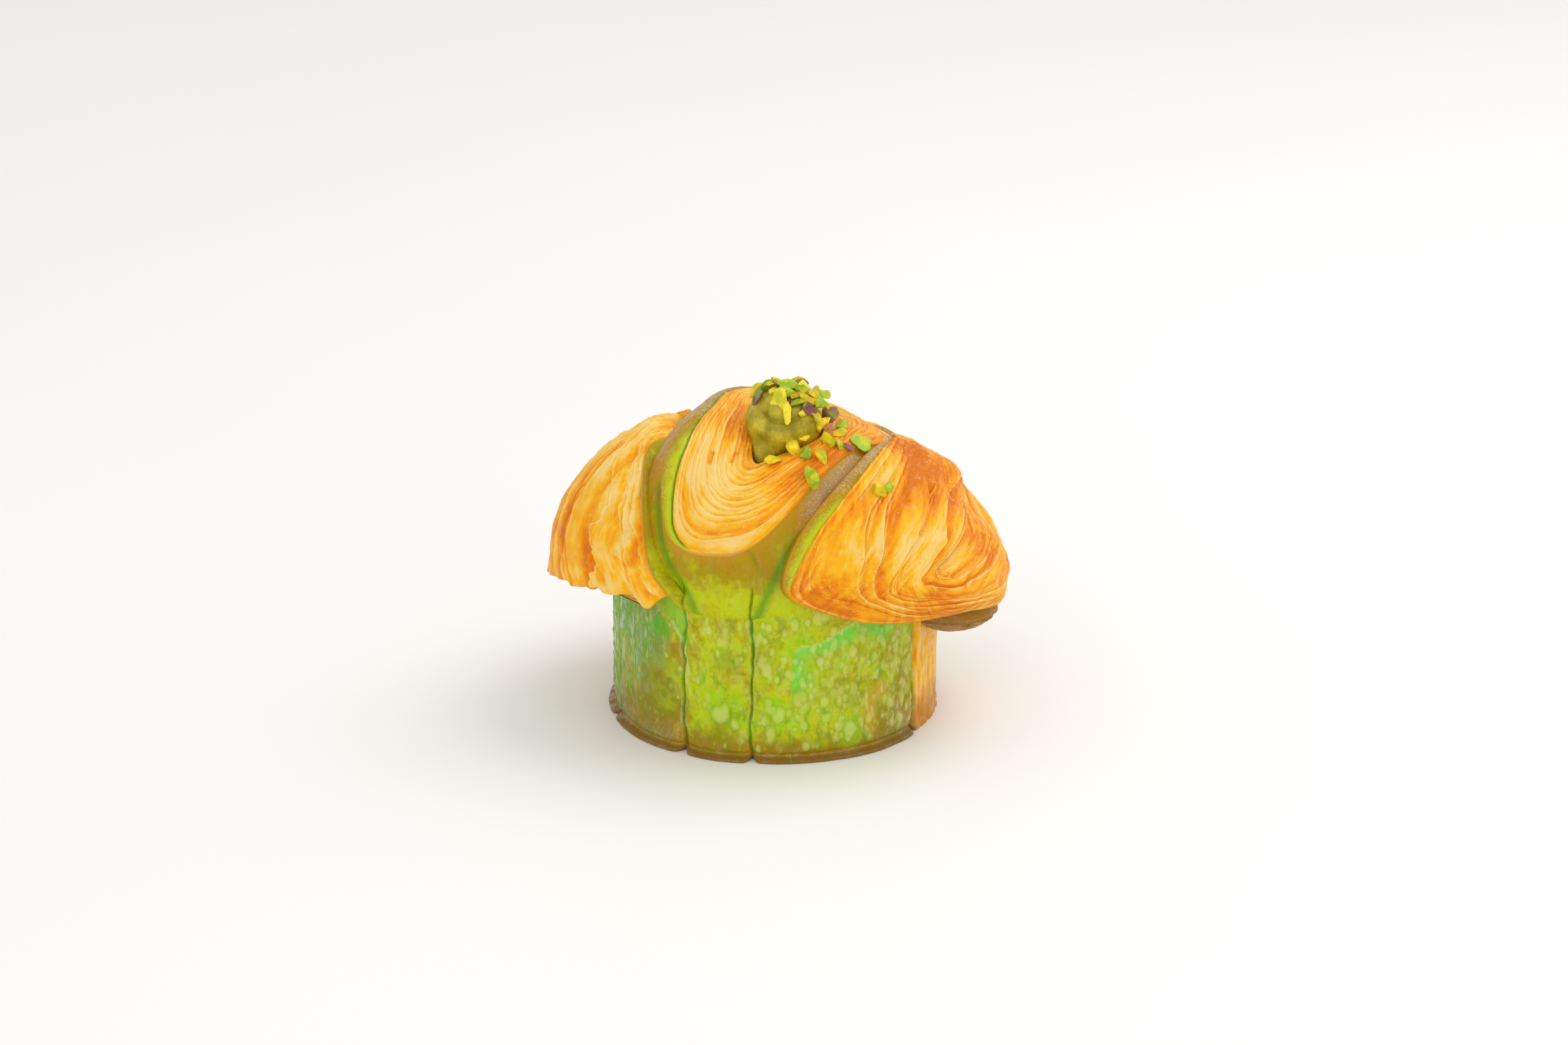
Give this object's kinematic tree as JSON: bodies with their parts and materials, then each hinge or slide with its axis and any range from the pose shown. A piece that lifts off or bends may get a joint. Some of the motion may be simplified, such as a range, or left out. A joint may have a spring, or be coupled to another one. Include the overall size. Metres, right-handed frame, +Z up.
{
  "type": "muffin-shaped filled croissant",
  "caption": "Ring-baked laminated pastry with a green outer skin, folded flaky lobes over its top and a ball of piped cream in the middle.",
  "frame": {"origin": "middle of the round foot, on the table", "axes": "+Z up, -Y towards the front, where the two widest lobes show, +X to their right"},
  "size_m": [0.1081, 0.094, 0.0814],
  "materials": {
    "crust": null,
    "cream": null
  },
  "bodies": {
    "root": {"pastry": "crust", "cream": "cream"}
  },
  "joints": []
}
